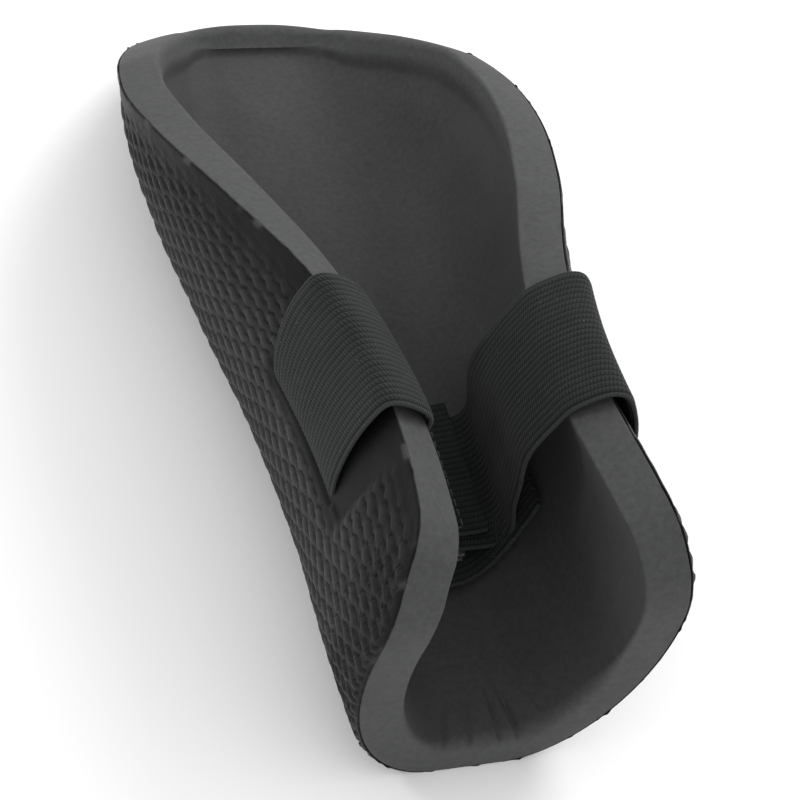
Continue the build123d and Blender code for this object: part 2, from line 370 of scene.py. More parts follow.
def lip(edge, distance):
    """Raised lip round the thigh end: how far the inside lies below it, and how much of its colour shows."""
    turn = np.abs(edge.angle - math.pi)
    width = LIP_SIDE + (LIP_MIDDLE - LIP_SIDE) * (1 - ease(turn, 0.2, 1.05))
    strength = 1 - ease(turn, 1.0, 1.5)
    below = ease(distance, width - 3.2, width + 2.4)
    dished = 1 - ease(distance, width + 1.0, width + 14.0)
    return (LIP_HEIGHT + DISH * dished) * below * strength, (1 - below) * strength


def foam_rows(edge):
    """Rings of the foam, from the middle of the inside, over the cut edge and back under the skin."""
    turn = np.abs(edge.angle - math.pi)
    fillet = (FILLET + SHIN_FILLET * shin_end_weight(edge, -22, 2)
              + SHIN_CORNER_FILLET * shin_end_weight(edge, -60, -30)
              + THIGH_FILLET * (1 - ease(turn, 0.6, 1.2)))
    rows, cut, inside = [], [], []

    def add(point, cut_value, inside_value):
        rows.append(point)
        cut.append(np.broadcast_to(cut_value, edge.angle.shape))
        inside.append(np.broadcast_to(inside_value, edge.angle.shape))

    def inner(share):
        u, y = edge.at(share)
        press, colour = lip(edge, (1 - share) * edge.per_share)
        add(skin(u, y) + skin_normal(u, y) * (SHELL - press)[:, None], LIP_COLOUR * colour, 1)

    near = edge.from_edge(NEAR_EDGE)
    for share in np.linspace(0, 1, INNER_RINGS)[:-1]:
        inner(share * near)
    for share in np.linspace(0, 1, NEAR_RINGS)[:-1]:
        inner(edge.from_edge(NEAR_EDGE + (fillet - NEAR_EDGE) * share))
    for turn in np.linspace(0, math.pi / 2, ROUND_RINGS):
        u, y = edge.at(edge.from_edge(fillet * (1 - math.sin(turn))))
        depth = SHELL - fillet * (1 - math.cos(turn))
        colour = np.maximum(ease(turn, 0.5, 1.3), LIP_COLOUR * lip(edge, fillet)[1])
        add(skin(u, y) + skin_normal(u, y) * depth[:, None], colour, 1)
    top = SHELL - fillet
    low = SEAM + SEAM_ROUND
    for share in np.linspace(0, 1, FACE_RINGS)[1:]:
        depth = top + (low - top) * share
        crown = CROWN * math.sin(math.pi * share)
        add(edge.point + edge.inward * depth[:, None] + edge.out * crown, 1, 0)
    for turn in np.linspace(0, math.pi / 2, SEAM_RINGS)[1:]:
        depth = low - SEAM_ROUND * math.sin(turn)
        back = SEAM_ROUND * (1 - math.cos(turn))
        add(edge.point + edge.inward * depth - edge.out * back, 1, 0)
    hidden = edge.from_edge(SEAM_ROUND + 0.4)
    for share in np.linspace(1, 0, HIDDEN_RINGS):
        u, y = edge.at(share * hidden)
        add(skin(u, y) + skin_normal(u, y) * (SEAM + SEAM_GAP), 0, 0)
    return np.array(rows), np.array(cut), np.array(inside)


def build_foam():
    """The foam body, its inside uneven and creased at the shin end."""
    rows, cut, inside = foam_rows(foam_edge)
    uneven = swell(rows, FOAM_SWELL) * inside
    facing = [skin_normal(*foam_edge.at(share)) for share in np.linspace(0, 1, FACINGS)]
    last_inner = INNER_RINGS + NEAR_RINGS - 1
    normal = np.array([facing[min(i * FACINGS // last_inner, FACINGS - 1)] for i in range(len(rows))])
    rows = rows + normal * uneven[..., None]
    x, y, z = np.moveaxis(rows, -1, 0)
    for at, tilt, deep in CREASES:
        line = x - (at + tilt * (y - SHIN_END))
        bank = np.exp(-((np.abs(line) - CREASE_BANK_AT) / CREASE_BANK_WIDTH) ** 2)
        groove = np.exp(-(line / CREASE_WIDTH) ** 2) - CREASE_BANK * bank
        reach = ease(-y, 64, 72) * (1 - ease(-y, 78.3, 80.0)) * ease(-z, -20, -14)
        rows[..., 2] -= deep * groove * reach * inside
    obj = ring_object("foam_body", rows)
    give_values(obj, "cut", cut.ravel())
    return obj


# ---------------------------------------------------------------- textured outer skin
WARP_PITCH = 4.1            # the moulded weave: spacing of its strands along and across the pad
WEFT_PITCH = 3.15
EMBOSS = 1.05
WEFT_SHAPE = (0.84, 0.35)   # width of a strand as a share of the spacing, and how blunt its ends are
WARP_SHAPE = (0.62, 0.6)
WARP_HEIGHT = 0.45
SWAY = 0.12
TABLE_SHARES = 90
TABLE_PLACES = (-92, 172, 67)
FAINT = 0.06                # share of the weave that is left beside the edge
WALL_LENGTH = 112.0         # length of the wall from the flat of the sole to the rim
WEAVE_WOBBLE = ((13.0, 8, 0.45),)
SKIN_SWELL = ((14.0, 9, 0.10), (3.5, 10, 0.05))
RECESS_DEPTH = 1.3
NOTCH_DEPTH = 3.4
LOWER_END = 5.4             # the slit runs on past the strap at the shin side, not at the thigh side
UPPER_END = -3.0
EDGE_RINGS = 26
WEAVE_RINGS = 205
UNDER_RINGS = 22
RAGGED_TURNS = (23, 37, 61, 89, 127, 173, 211)
FLAKE_TURNS = (29, 47, 71, 97)
# depth into the foam, way out, share of the ragged edge and of the light flakes, round the skin's cut edge
SKIN_PROFILE = (
    (SEAM - 0.10, -0.45, 0.0, 0.0),
    (SEAM - 0.12, -0.28, 0.1, 0.0),
    (SEAM - 0.18, -0.16, 0.5, 0.7),
    (SEAM - 0.30, -0.12, 0.55, 1.0),
    (SEAM - 0.45, -0.16, 0.4, 0.9),
    (0.02, -0.35, 0.1, 0.6),
)


def section_length(u, y):
    """Distance from the centre line round the outer surface, from a table."""
    shares = np.linspace(0, 1, TABLE_SHARES)
    places = np.linspace(*TABLE_PLACES)
    grid_u, grid_y = np.meshgrid(shares, places)
    p = skin(grid_u, grid_y)
    runs = np.linalg.norm(np.diff(p[..., [0, 2]], axis=1), axis=-1)
    table = np.concatenate([np.zeros((len(places), 1)), np.cumsum(runs, axis=1)], axis=1)
    a = np.clip(np.abs(u) * (len(shares) - 1), 0, len(shares) - 1.001)
    b = np.clip((y - places[0]) / (places[1] - places[0]), 0, len(places) - 1.001)
    i, j = a.astype(int), b.astype(int)
    s, t = a - i, b - j
    value = ((table[j, i] * (1 - s) + table[j, i + 1] * s) * (1 - t)
             + (table[j + 1, i] * (1 - s) + table[j + 1, i + 1] * s) * t)
    return np.sign(u) * value


def weave_height(across, along):
    """Height of a moulded plain weave, 0 to 1: long floats along the pad, short ones across it."""
    i, j = np.floor(along / WARP_PITCH), np.floor(across / WEFT_PITCH)
    a = along / WARP_PITCH - i - 0.5
    b = across / WEFT_PITCH - j - 0.5
    odd = (i + j) % 2

    def strand(beside, ahead, phase, width, blunt):
        """A strand that rises over one crossing and dips under the next."""
        ridge = np.clip(1 - (2 * np.abs(beside) / width) ** 5, 0, 1)
        return ridge * (0.5 + 0.5 * np.cos(math.pi * (ahead + phase))) ** blunt

    weft = strand(b + SWAY * np.sin(math.pi * a), a, odd, *WEFT_SHAPE)
    warp = strand(a, b, 1 - odd, *WARP_SHAPE) * WARP_HEIGHT
    return np.maximum(weft, warp)


def strap_off(y, extra):
    """How far a place lies beyond the strap's width at the slit, less extra at the shin side."""
    low = STRAP_LOW_EDGE + SLIT_SHIFT - extra
    high = STRAP_LOW_EDGE + SLIT_SHIFT + STRAP_WIDTH + 0.6
    return np.maximum(low - y, y - high)


def skin_relief(u, y):
    """How far the skin is pressed in by the strap's recess and slit, and how much weave is left."""
    share = (np.abs(u) - FLAT_SHARE) / (1 - FLAT_SHARE)
    above = (share - SLIT_STEP) * WALL_LENGTH
    past = np.maximum(strap_off(y, LOWER_END), strap_off(y, 0) - UPPER_END * (y > STRAP_MIDDLE))
    beside = 1 - ease(strap_off(y, 3.0), 0.0, 8.0)
    recess = RECESS_DEPTH * ease(above, -0.5, 1.5) * beside * (1 - 0.8 * ease(above, 6, 22))
    notch = NOTCH_DEPTH * ease(above, -1.9, -0.5) * (1 - ease(above, 0.8, 3.6)) * (1 - ease(past, 0.0, 1.6))
    smooth = ease(above, -6.0, -2.0) * (1 - ease(strap_off(y, 6.0), 0.0, 4.5))
    return recess + notch, 1 - smooth


def build_skin():
    """The moulded skin, from its hidden face, round its ragged edge and over the woven outside."""
    edge = Edge(SKIN_COLUMNS)
    rows, flakes_and_painted_highlight = [], []
    ragged = np.clip(edge.waves(RAGGED_TURNS, 11) - 0.35, 0.0, 0.9)
    flake = ease(edge.waves(FLAKE_TURNS, 12), 0.45, 0.85)
    bare = 1 - ease(strap_off(edge.point[:, 1], 1.0), 3.0, 0.0)
    under = edge.from_edge(0.6)
    for share in np.linspace(0, 1, UNDER_RINGS)[:-1]:
        u, y = edge.at(share * under)
        rows.append(skin(u, y) + skin_normal(u, y) * (SEAM - 0.1))
        flakes_and_painted_highlight.append(np.zeros(len(edge.angle)))
    for depth, out, wave, bright in SKIN_PROFILE:
        rows.append(edge.point + edge.inward * depth + edge.out * (out + wave * ragged * bare)[:, None])
        flakes_and_painted_highlight.append(flake * bright * bare)
    shares = [edge.from_edge(d) for d in np.linspace(0.7, NEAR_EDGE, EDGE_RINGS)[:-1]]
    inner = edge.from_edge(NEAR_EDGE)
    shares += [inner * s for s in np.linspace(1, 0, WEAVE_RINGS)]
    for share in shares:
        u, y = edge.at(share)
        base = skin(u, y)
        normal = skin_normal(u, y)
        press, weave = skin_relief(u, y)
        off = (1 - share) * edge.per_share
        near_end = ease(-base[:, 1], 50, 72)
        fade = ease(off, 2.2 - 1.9 * near_end, 11.5 - 9.5 * near_end)
        low = section_length(u, y)
        wobble = swell(base, WEAVE_WOBBLE)
        height = weave_height(low + wobble, y + wobble) * EMBOSS * (FAINT + (1 - FAINT) * fade) * weave
        press = press * ease(off, 0.0, 3.0)
        rows.append(base + normal * (press - height + swell(base, SKIN_SWELL))[:, None])
        near = flake * (1 - ease(off, 0.8, 1.8)) * bare
        # Painted highlight: the raised strands of the weave get a lighter colour, weaker near the cut edge;
        # the light flakes along the edge are the skin's own.
        flakes_and_painted_highlight.append(np.clip(height / EMBOSS, 0, 1) * (0.2 + 0.5 * ease(off, 6, 34)) + near * 0.6)
    rows = np.array(rows)
    rows[..., 2] = np.maximum(rows[..., 2], 0.0)
    obj = ring_object("tread_skin", rows)
    give_values(obj, "flakes_and_painted_highlight", np.array(flakes_and_painted_highlight).ravel())
    return obj


# ---------------------------------------------------------------- ribbed elastic
RIB = 1.65
EDGE_CORD = 0.55
ROWS_PER_RIB = 6
RIBS = 23
BODY_HALF = 0.58            # half thickness: between the ribs, what a rib adds, and beside the cord
RIB_HALF = 0.19
DIP_HALF = 0.46
SELVEDGE = np.array([0.0, 0.06, 0.22, 0.5, 0.8, 1.05])
SELVEDGE_END = 1.3
ACROSS = np.concatenate([
    SELVEDGE,
    np.linspace(SELVEDGE_END, STRAP_WIDTH - SELVEDGE_END, RIBS * ROWS_PER_RIB + 1),
    STRAP_WIDTH - SELVEDGE[::-1],
])
MIDDLE = len(ACROSS) // 2
ROW_SPACING = 0.75
SMOOTHINGS = 10


def half_thickness(across):
    """Round cord at each selvedge, ribs between them."""
    rib = np.abs(np.cos(math.pi * (across - STRAP_WIDTH / 2) / RIB)) ** 0.7
    body = BODY_HALF + RIB_HALF * rib
    near = np.minimum(across, STRAP_WIDTH - across)
    cord = np.sqrt(np.clip(EDGE_CORD ** 2 - (EDGE_CORD - near) ** 2, 0, None))
    share = ease(near, 0.8, 1.5)
    return np.where(near < EDGE_CORD, cord, DIP_HALF * (1 - share) + body * share)


def through(points, counts):
    """Smooth curve through rows of points, in even steps along the middle column."""
    points = np.asarray(points, float)
    middle = points[:, points.shape[1] // 2]
    knots = np.concatenate([[0], np.cumsum(np.linalg.norm(np.diff(middle, axis=0), axis=1))])
    slopes = np.gradient(points, knots, axis=0)
    where = np.linspace(0, knots[-1], counts)
    i = np.clip(np.searchsorted(knots, where) - 1, 0, len(knots) - 2)
    step = (knots[i + 1] - knots[i])[:, None, None]
    t = (where - knots[i])[:, None, None] / step
    t2, t3 = t * t, t * t * t
    return ((2 * t3 - 3 * t2 + 1) * points[i] + (t3 - 2 * t2 + t) * step * slopes[i]
            + (-2 * t3 + 3 * t2) * points[i + 1] + (t3 - t2) * step * slopes[i + 1])


def smooth_rows(rows):
    rows = rows.copy()
    for _ in range(SMOOTHINGS):
        rows[1:-1] = rows[1:-1] * 0.5 + (rows[:-2] + rows[2:]) * 0.25
    return rows


class Band:
    """A run of elastic: its middle surface, as rows along its length and columns across its width."""

    def __init__(self, controls, shift, spread):
        """Controls are x and z of each stop and column, shift its slide in Y, and spread its extra width."""
        columns = controls.shape[1]
        shift, spread = (np.asarray(v, float)[:, None] for v in (shift, spread))
        across = np.linspace(0, STRAP_WIDTH, columns)[None, :]
        y = STRAP_LOW_EDGE + across * (1 + spread / STRAP_WIDTH) - spread / 2 + shift
        points = np.stack([controls[..., 0], y, controls[..., 1]], -1)
        middle = points[:, columns // 2]
        length = np.linalg.norm(np.diff(middle, axis=0), axis=1).sum()
        rows = smooth_rows(through(points, int(length / ROW_SPACING)))
        at = np.clip(ACROSS / STRAP_WIDTH * (columns - 1), 0, columns - 1.0001)
        i = at.astype(int)
        t = (at - i)[None, :, None]
        self.rows = rows[:, i] * (1 - t) + rows[:, np.minimum(i + 1, columns - 1)] * t
        steps = np.linalg.norm(np.diff(self.rows[:, MIDDLE], axis=0), axis=1)
        self.along = np.concatenate([[0], np.cumsum(steps)])
        ahead = np.gradient(self.rows, axis=0)
        side = np.gradient(self.rows, ACROSS, axis=1)
        self.normal = unit(np.cross(ahead, side))

    def part(self, first, last):
        """Rows between two lengths along the band."""
        first_row = int(np.searchsorted(self.along, first - 1e-6))
        last_row = min(int(np.searchsorted(self.along, last - 1e-6)), len(self.along) - 1)
        return np.arange(first_row, last_row + 1)

    def build(self, name, first=0.0, last=math.inf):
        return make_band(name, [self.solid(first, last)])

    def solid(self, first, last):
        """Points, faces and places of a closed length of the band."""
        picked = self.part(first, last)
        rows, normal, along = self.rows[picked], self.normal[picked], self.along[picked]
        half = half_thickness(ACROSS)[None, :, None]
        top = rows + normal * half
        bottom = (rows - normal * half)[:, -2:0:-1]
        loop = np.concatenate([top, bottom], 1)
        count, width = loop.shape[:2]
        index = np.arange(count * width).reshape(count, width)
        a, b = index[:-1], index[1:]
        quads = np.stack([a, np.roll(a, -1, 1), np.roll(b, -1, 1), b], -1).reshape(-1, 4)
        columns = len(ACROSS)
        order = np.concatenate([ACROSS, ACROSS[-2:0:-1]])
        points = [loop.reshape(-1, 3)]
        caps = []
        for row, flip in ((0, True), (count - 1, False)):
            start = sum(len(p) for p in points)
            points.append(loop[row])
            for c in range(columns - 1):
                corners = [start + c, start + c + 1, start + width - c - 1, start + (width - c) % width]
                corners = list(dict.fromkeys(corners))
                caps.append(corners[::-1] if flip else corners)
        run = np.concatenate([np.repeat(along, width), np.repeat(along[[0, -1]], width)])
        return np.concatenate(points), quads.tolist() + caps, run, np.tile(order, count + 2)


def make_band(name, solids):
    """One object from closed lengths of a band."""
    points, faces, first = [], [], 0
    for solid in solids:
        points.append(solid[0])
        faces += [[first + corner for corner in face] for face in solid[1]]
        first += len(solid[0])
    obj = make_object(name, np.concatenate(points), faces)
    give_values(obj, "along", np.concatenate([solid[2] for solid in solids]))
    give_values(obj, "across", np.concatenate([solid[3] for solid in solids]))
    return obj


SPLIT_LEVEL = 78.0          # height at which a strap's side becomes its leg
LEG_LEAST = 20.0            # a leg is longer than this, and so is the folded end of the strap
HEM_LEAST = 30.0
LEG_FOOT_LEVEL = 20.0
SPLIT_X = HINGE_X + 1.5     # places across the pad at which a leg becomes the strap's end
LEFT_SPLIT_X = -12.3
COLUMNS = 25
STRAP_Y = STRAP_LOW_EDGE + np.linspace(0, STRAP_WIDTH, COLUMNS)


def mirrored(points):
    return points * np.array([-1.0, 1.0])


# stops of the strap: step up the wall and depth, then way in from the edge and height above it
IN_SLIT = ((0.735, 3.8), (0.758, 2.6), (0.785, 0.6))
BESIDE_WALL = ((0.82, -0.5), (0.87, -1.3), (0.925, -2.2), (0.975, -3.0))
OVER_EDGE = ((-3.2, 1.6), (-0.4, 2.9), (SHELL / 2 - 1.5, 3.2), (SHELL - 3.5, 2.9), (SHELL - 0.4, 1.9),
             (SHELL + 1.2, 0.2))
RIGHT_RIM_SHIFT = [SLIT_SHIFT] * 3 + [-4.5, -4.5, -4.5, -4.0, -2.5, -1.5, -1.2, -1.0, -0.8, -0.6]
RIGHT_RIM_SPREAD = [0.0] * 3 + [0.4, 0.8, 1.2, 1.5, 1.5, 1.3, 1.1, 1.0, 1.0, 1.0]
LEFT_RIM_SHIFT = [SLIT_SHIFT] * 3 + [-2.6, -0.6, 0.8, 1.3] + [1.4] * 6
LEFT_RIM_SPREAD = [0.0] * 3 + [1.2, 2.4, 3.0, 3.0] + [3.0, 3.0, 3.0, 2.8, 2.4, 2.0]


def over_rim():
    """From inside the slit, up the outside of the right wall and over the cut edge."""
    stops = [wall_at(STRAP_Y, step, depth) for step, depth in IN_SLIT + BESIDE_WALL]
    return stops + [rim_at(STRAP_Y, inward, above) for inward, above in OVER_EDGE]


def fixed(x, z):
    """The same place in every plane across the strap."""
    return np.stack([np.full(COLUMNS, float(x)), np.full(COLUMNS, float(z))], -1)


def right_controls():
    rim = rim_at(STRAP_Y, SHELL + 1.2, 0.2)
    hang = []
    for dx, share in ((-2.0, 0.88), (-3.2, 0.74)):
        hang.append(np.stack([rim[:, 0] + dx, UPPER_LEVEL + (rim[:, 1] - UPPER_LEVEL) * share], -1))
    drop = rim[:, 1].mean() - UPPER_LEVEL
    for x, share in ((15.0, 0.5), (17.0, 0.3), (19.2, 0.17), (19.8, 0.1), (18.8, 0.035)):
        hang.append(fixed(x, UPPER_LEVEL + drop * share))
    floor = [fixed(16.8, UPPER_LEVEL + 0.15), fixed(14.2, UPPER_LEVEL)]
    end = [fixed(x, UPPER_LEVEL) for x in (6, 0, -6, -10.4)]
    fold = [fixed(-11.5, UPPER_LEVEL + 0.35), fixed(-11.6, HEM_LEVEL - 0.2), fixed(-10.4, HEM_LEVEL + 0.05)]
    hem = [fixed(x, HEM_LEVEL) for x in (-6, 0, 6)]
    hem_end = [fixed(12.4, HEM_LEVEL + 0.1), fixed(15.4, HEM_LEVEL + 0.8)]
    stops = over_rim() + hang + floor + end + fold + hem + hem_end
    hang_shift = [-0.2, 0.5, 1.6, 2.5, 3.0, 3.0, 3.0]
    hem_shift = [3.4, 4.4, 5.4, 6.0, 6.0, 6.2, 6.4, 6.4]
    shift = RIGHT_RIM_SHIFT + hang_shift + [3.0] * 6 + hem_shift
    spread = RIGHT_RIM_SPREAD + [0.9, 0.8, 0.6, 0.4, 0.2] + [0.0] * 16
    return np.array(stops), shift, spread


def left_controls():
    wall_steps = [mirrored(wall_at(STRAP_Y, s, INSIDE)) for s in (0.9, 0.8, 0.65, 0.5, 0.38, 0.3)]
    floor = [fixed(x, FLOOR_LEVEL) for x in (-8, -2, 4, 9)]
    floor = [fixed(-12.4, FLOOR_LEVEL + 0.3)] + floor + [fixed(12.4, FLOOR_LEVEL + 0.3)]
    tail = [wall_at(STRAP_Y, s, INSIDE) for s in (0.3, 0.38, 0.46, 0.56)]
    stops = [mirrored(p) for p in over_rim()] + wall_steps + floor + tail
    wall_shift = [1.0, 0.6, 0.0, -0.8, -1.6, -2.4]
    floor_shift = [-3.2, -4.0, -4.4, -4.2, -3.4, -2.0]
    tail_shift = [-0.6, 0.8, 2.0, 3.0]
    shift = LEFT_RIM_SHIFT + wall_shift + floor_shift + tail_shift
    spread = LEFT_RIM_SPREAD + [1.6, 1.0, 0.4] + [0.0] * 13
    return np.array(stops), shift, spread


def core_controls():
    """The run inside the foam, from slit to slit under the floor."""
    steps = (0.742, 0.72, 0.6, 0.45, 0.3, 0.15, 0.0)
    right = [wall_at(STRAP_Y, step, CORE_DEPTH) for step in steps]
    stops = right + [fixed(0, CORE_DEPTH - SOLE_CUT)] + [mirrored(p) for p in right[::-1]]
    lean = [SLIT_SHIFT, SLIT_SHIFT, -3.0, -2.0, -1.0]
    shift = lean + [0] * 5 + lean[::-1]
    return np.array(stops), shift, [0.0] * len(stops)


def length_at(band, start, test):
    """Length along the band, past start, of the first row whose middle passes the test."""
    middle = band.rows[:, MIDDLE]
    return band.along[next(i for i in range(len(middle)) if band.along[i] > start and test(middle[i]))]


def split_places(band, reaches_end):
    """Lengths at which the side ends below the edge, and at which the leg ends on the floor."""
    crest = band.along[np.argmax(band.rows[:, MIDDLE, 2])]
    rim = length_at(band, crest, lambda p: p[2] < SPLIT_LEVEL)
    return rim, length_at(band, rim + LEG_LEAST, lambda p: reaches_end(p) and p[2] < LEG_FOOT_LEVEL)


def build_straps():
    """Every piece of the strap; the hem's cut end past the peel line belongs to the right leg."""
    right = Band(*right_controls())
    left = Band(*left_controls())
    pieces = {"strap_core": Band(*core_controls()).build("strap_core_band")}
    rim, end = split_places(right, lambda p: p[0] < SPLIT_X)
    hem_end = length_at(right, end + HEM_LEAST, lambda p: p[0] > SPLIT_X)
    pieces["strap_right_side"] = right.build("strap_right_side_band", 0, rim)
    leg = [right.solid(rim, end), right.solid(hem_end, right.along[-1])]
    pieces["strap_right_leg"] = make_band("strap_right_leg_band", leg)
    pieces["strap_right_end"] = right.build("strap_right_end_band", end, hem_end)
    rim, end = split_places(left, lambda p: p[0] > LEFT_SPLIT_X)
    pieces["strap_left_side"] = left.build("strap_left_side_band", 0, rim)
    pieces["strap_left_leg"] = left.build("strap_left_leg_band", rim, end)
    pieces["strap_left_end"] = left.build("strap_left_end_band", end, left.along[-1])
    return pieces


# ---------------------------------------------------------------- stitches
LOOP_STITCH_LEVEL = 15.55
THREAD_RADIUS = 0.21
THREAD_SIDES = 8
THREAD_STATIONS = 7
STITCH_RISE = 0.16
STITCH_SINK = 0.05
STITCH_PITCH = 2.9
STITCH_ENDS = (0.1, 0.9)    # where a stitch begins and ends, as shares of the pitch


def stitch_object(name, ends, top):
    """Short raised stitches of thread, each a small arched capsule between two points."""
    turns = np.linspace(0, 2 * math.pi, THREAD_SIDES + 1)[:-1]
    stations = np.linspace(0, 1, THREAD_STATIONS)
    points, faces = [], []
    for start, end in ends:
        heading = unit(end - start)
        side = np.cross([0, 0, 1.0], heading)
        first = len(points)
        for t in stations:
            thick = THREAD_RADIUS * math.sqrt(max(1 - (2 * t - 1) ** 4, 0.05))
            rise = top + STITCH_RISE * math.sin(math.pi * t) - STITCH_SINK
            centre = start + (end - start) * t + np.array([0, 0, rise])
            for turn in turns:
                up = np.array([0, 0, thick * math.sin(turn)])
                points.append(centre + side * thick * math.cos(turn) + up)
        for i in range(THREAD_STATIONS - 1):
            low, high = first + i * THREAD_SIDES, first + (i + 1) * THREAD_SIDES
            for j in range(THREAD_SIDES):
                k = (j + 1) % THREAD_SIDES
                faces.append([low + j, high + j, high + k, low + k])
        faces.append([first + j for j in range(THREAD_SIDES)])
        faces.append([len(points) - 1 - j for j in range(THREAD_SIDES)])
    return make_object(name, np.array(points), faces)


def stitch_rectangle(half_x, half_y, middle):
    """Ends of the stitches of a sewn rectangle."""
    ends = []
    low, high = middle - half_y, middle + half_y
    corners = ((-half_x, low, 0), (half_x, low, 0), (half_x, high, 0), (-half_x, high, 0))
    corners = [np.array(corner) for corner in corners]
    for a, b in zip(corners, corners[1:] + corners[:1]):
        count = int(np.linalg.norm(b - a) / STITCH_PITCH)
        for i in range(count):
            ends.append([a + (b - a) * (i + share) / count for share in STITCH_ENDS])
    return ends


# ---------------------------------------------------------------- materials
class Nodes:
    """Short way to write a node material."""

    def __init__(self, name):
        self.material = bpy.data.materials.new(name)
        self.material.use_nodes = True
        self.tree = self.material.node_tree
        self.shader = self.tree.nodes["Principled BSDF"]

    def node(self, kind, settings=None, **inputs):
        made = self.tree.nodes.new(kind)
        for key, value in (settings or {}).items():
            setattr(made, key, value)
        for key, value in inputs.items():
            self.feed(made, key.replace("_", " "), value)
        return made

    def feed(self, node, socket, value):
        numbered = socket[0] == "i" and socket[1:].isdigit()
        target = node.inputs[int(socket[1:])] if numbered else node.inputs[socket]
        if isinstance(value, bpy.types.NodeSocket):
            self.tree.links.new(value, target)
        else:
            target.default_value = value

    def math(self, operation, a, b=0.0):
        return self.node("ShaderNodeMath", {"operation": operation}, i0=a, i1=b).outputs[0]

    def noise(self, vector, scale, detail=4.0, roughness=0.6):
        made = self.node("ShaderNodeTexNoise", None, Vector=vector, Scale=scale, Detail=detail,
                         Roughness=roughness)
        return made.outputs["Fac"]

    def ramp(self, value, stops):
        made = self.node("ShaderNodeValToRGB", None, Fac=value)
        elements = made.color_ramp.elements
        while len(elements) < len(stops):
            elements.new(0.5)
        for element, (place, colour) in zip(elements, stops):
            element.position = place
            element.color = (*colour, 1)
        return made.outputs["Color"]

    def mix(self, factor, a, b, kind="MIX"):
        made = self.node("ShaderNodeMix", {"data_type": "RGBA", "blend_type": kind})
        self.feed(made, "i0", factor)
        for socket, value in ((6, a), (7, b)):
            if isinstance(value, bpy.types.NodeSocket):
                self.tree.links.new(value, made.inputs[socket])
            else:
                made.inputs[socket].default_value = (*value, 1)
        return made.outputs[2]

    def span(self, value, low, high, to_low, to_high):
        made = self.node("ShaderNodeMapRange")
        sockets = ("Value", "From Min", "From Max", "To Min", "To Max")
        for socket, item in zip(sockets, (value, low, high, to_low, to_high)):
            self.feed(made, socket, item)
        return made.outputs[0]

    def place(self):
        return self.node("ShaderNodeTexCoord").outputs["Object"]

    def attribute(self, name):
        return self.node("ShaderNodeAttribute", {"attribute_name": name}).outputs["Fac"]

    def bump(self, height, distance, strength=1.0, normal=None):
        made = self.node("ShaderNodeBump", None, Height=height, Distance=distance, Strength=strength)
        if normal is not None:
            self.feed(made, "Normal", normal)
        return made.outputs["Normal"]

    def finish(self, **sockets):
        for key, value in sockets.items():
            self.feed(self.shader, key.replace("_", " "), value)
        return self.material


def foam_material():
    n = Nodes("foam")
    place = n.place()
    cut = n.attribute("cut")
    broad = n.noise(place, 38.0, 3.0)
    fine = n.noise(place, 1500.0, 3.0, 0.7)
    cells = n.noise(place, 620.0, 4.0, 0.65)
    moulded = n.ramp(broad, [(0.3, (0.034, 0.035, 0.0345)), (0.7, (0.040, 0.041, 0.0405))])
    sliced = n.ramp(broad, [(0.3, (0.053, 0.054, 0.054)), (0.7, (0.059, 0.060, 0.060))])
    base = n.mix(cut, moulded, sliced)
    grain = n.ramp(cells, [(0.3, (0.82, 0.82, 0.82)), (0.7, (1.16, 1.16, 1.16))])
    colour = n.mix(1.0, base, grain, "MULTIPLY")
    specks = n.span(n.noise(place, 2600.0, 1.0), 0.74, 0.80, 0.0, 1.0)
    colour = n.mix(n.math("MULTIPLY", specks, 0.5), colour, (0.16, 0.16, 0.16))
    near = n.bump(fine, 0.00006, 0.5)
    height = n.bump(cells, 0.00016, 0.55, near)
    rough = n.mix(cut, (0.68, 0.68, 0.68), (0.85, 0.85, 0.85))
    return n.finish(Base_Color=colour, Roughness=rough, Normal=height, Specular_IOR_Level=0.24,
                    Sheen_Weight=0.03, Sheen_Roughness=0.6)


def skin_material():
    n = Nodes("tread")
    place = n.place()
    flakes_and_painted_highlight = n.attribute("flakes_and_painted_highlight")
    broad = n.noise(place, 55.0, 4.0)
    fine = n.noise(place, 900.0, 5.0, 0.7)
    dark = n.ramp(broad, [(0.3, (0.0045, 0.0047, 0.0047)), (0.7, (0.0085, 0.0087, 0.0087))])
    # Mixing towards light grey paints highlights on the weave's raised strands and gives the edge's light
    # flakes their colour.
    colour = n.mix(n.math("MULTIPLY", flakes_and_painted_highlight, 0.6), dark, (0.095, 0.095, 0.093))
    rough = n.span(fine, 0.25, 0.75, 0.36, 0.54)
    normal = n.bump(fine, 0.00012, 0.6)
    return n.finish(Base_Color=colour, Roughness=rough, Normal=normal, Specular_IOR_Level=0.07)


